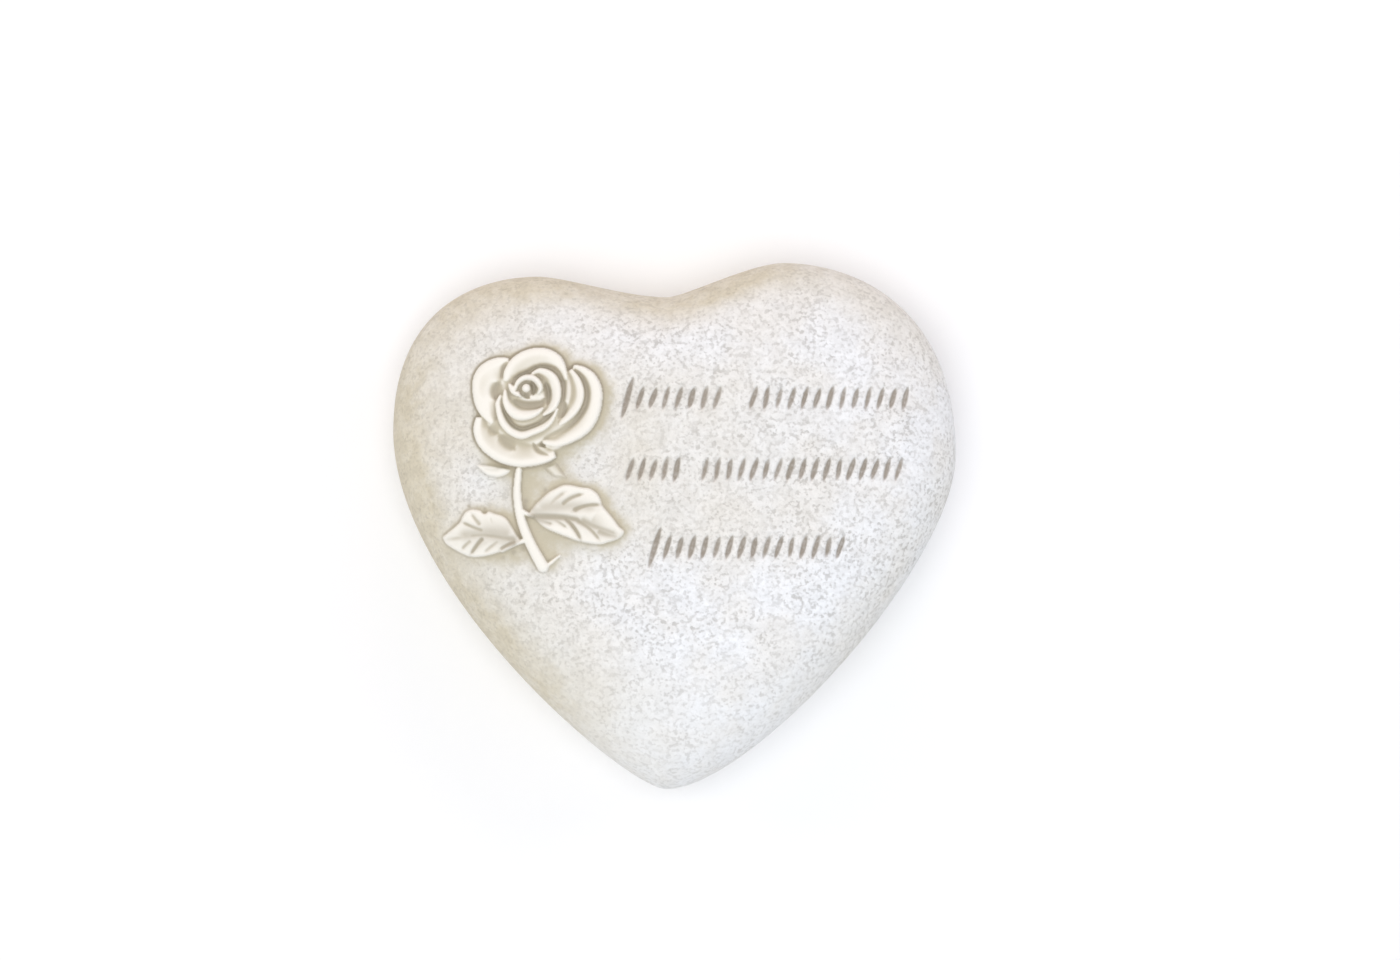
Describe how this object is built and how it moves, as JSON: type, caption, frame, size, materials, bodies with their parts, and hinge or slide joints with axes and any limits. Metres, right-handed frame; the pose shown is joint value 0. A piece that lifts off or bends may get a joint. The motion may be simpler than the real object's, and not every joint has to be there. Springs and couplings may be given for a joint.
{
  "type": "cast stone grave heart",
  "caption": "Pillow-shaped cast stone heart that lies on a grave, with a rose on its stem in relief and rows of shallow engraved strokes beside it.",
  "frame": {"origin": "on the ground under the middle of the heart's bounding box", "axes": "+Z out of the carved face, +Y towards the lobes, +X to the right of someone who reads the face"},
  "size_m": [0.16, 0.1496, 0.0456],
  "materials": {
    "cast_stone": "matt, fine-pored cream stone with a worn beige patina in the carving"
  },
  "bodies": {
    "root": {"grave_heart": "cast_stone"}
  },
  "joints": []
}
